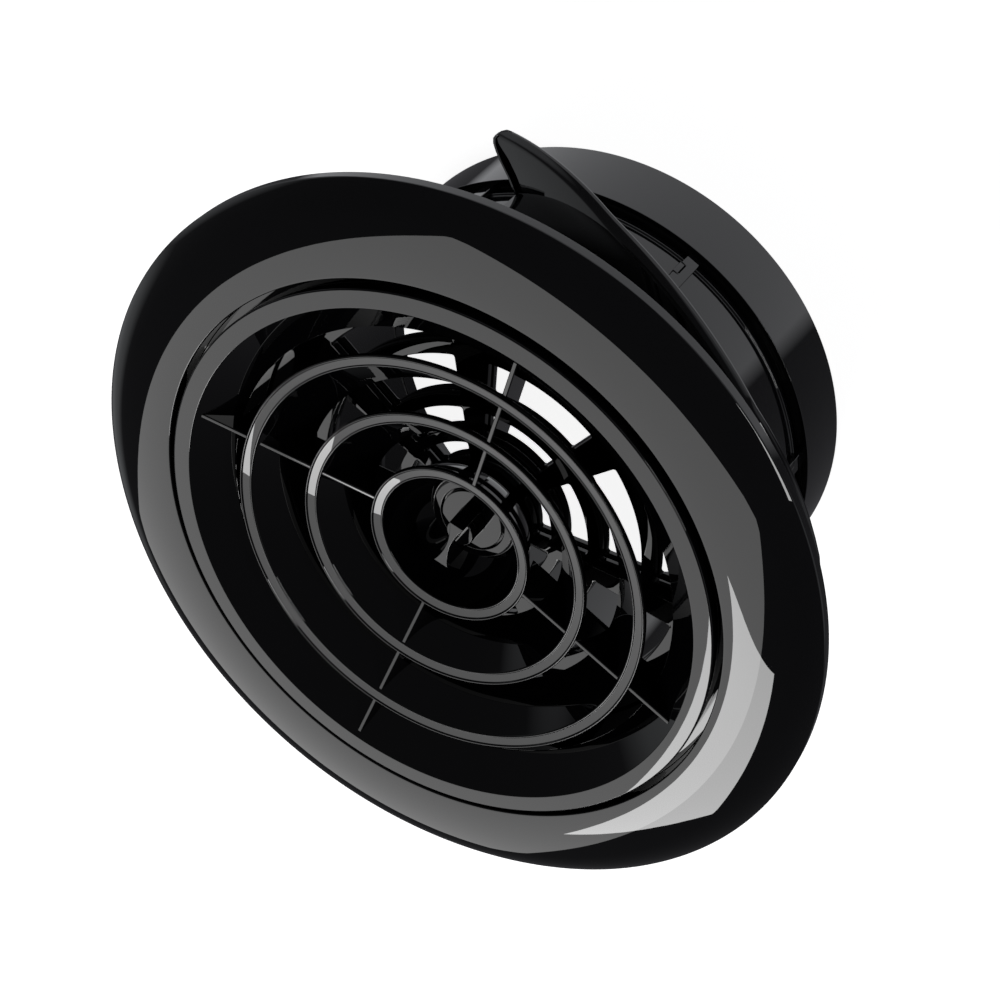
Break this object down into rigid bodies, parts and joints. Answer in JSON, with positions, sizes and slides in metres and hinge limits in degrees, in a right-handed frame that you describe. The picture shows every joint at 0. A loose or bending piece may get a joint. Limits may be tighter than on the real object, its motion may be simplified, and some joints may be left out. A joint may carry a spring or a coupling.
{
  "type": "ceiling air diffuser",
  "caption": "Round ceiling air outlet with a louvred face, a slotted damper turned by a hub knob, a duct collar and a twist-lock ring with winding wings.",
  "frame": {"origin": "centre of the duct collar's rear rim", "axes": "+Z along the diffuser's axis, out of the louvred face; the spokes of the face lie on X and Y and the knob's grip lies along Y"},
  "size_m": [0.215, 0.215, 0.105],
  "materials": {
    "black_plastic": "gloss black moulded plastic",
    "foam_rubber": "matt black foam and rubber",
    "steel": "plain zinc-plated steel",
    "bush_plastic": "natural bearing plastic"
  },
  "bodies": {
    "housing": {"face_ring": "black_plastic", "ceiling_gasket": "foam_rubber", "core_ring": "black_plastic", "louvre_ring_1": "black_plastic", "louvre_ring_2": "black_plastic", "louvre_spokes": "black_plastic", "hub_cup": "black_plastic", "neck_housing": "black_plastic", "duct_collar": "black_plastic", "collar_gasket": "foam_rubber", "damper_stator": "black_plastic", "stator_screws": "steel", "spindle_bush": "bush_plastic", "face_screws": "steel", "snap_ring": "steel"},
    "damper": {"damper_spindle": "steel", "control_knob": "black_plastic", "damper_rotor": "black_plastic", "rotor_washer": "steel", "rotor_screw": "steel", "stop_pin": "steel", "spindle_o_ring": "foam_rubber"},
    "lock": {"lock_ring": "black_plastic"}
  },
  "joints": [
    {"name": "damper_turn", "type": "hinge", "parent": "housing", "child": "damper", "pos_m": [0, 0, 0.0724], "axis": [0, 0, 1], "range_deg": [0, 25.7]},
    {"name": "lock_ring_turn", "type": "hinge", "parent": "housing", "child": "lock", "pos_m": [0, 0, 0.0867], "axis": [0, 0, 1], "range_deg": [0, 45]}
  ]
}
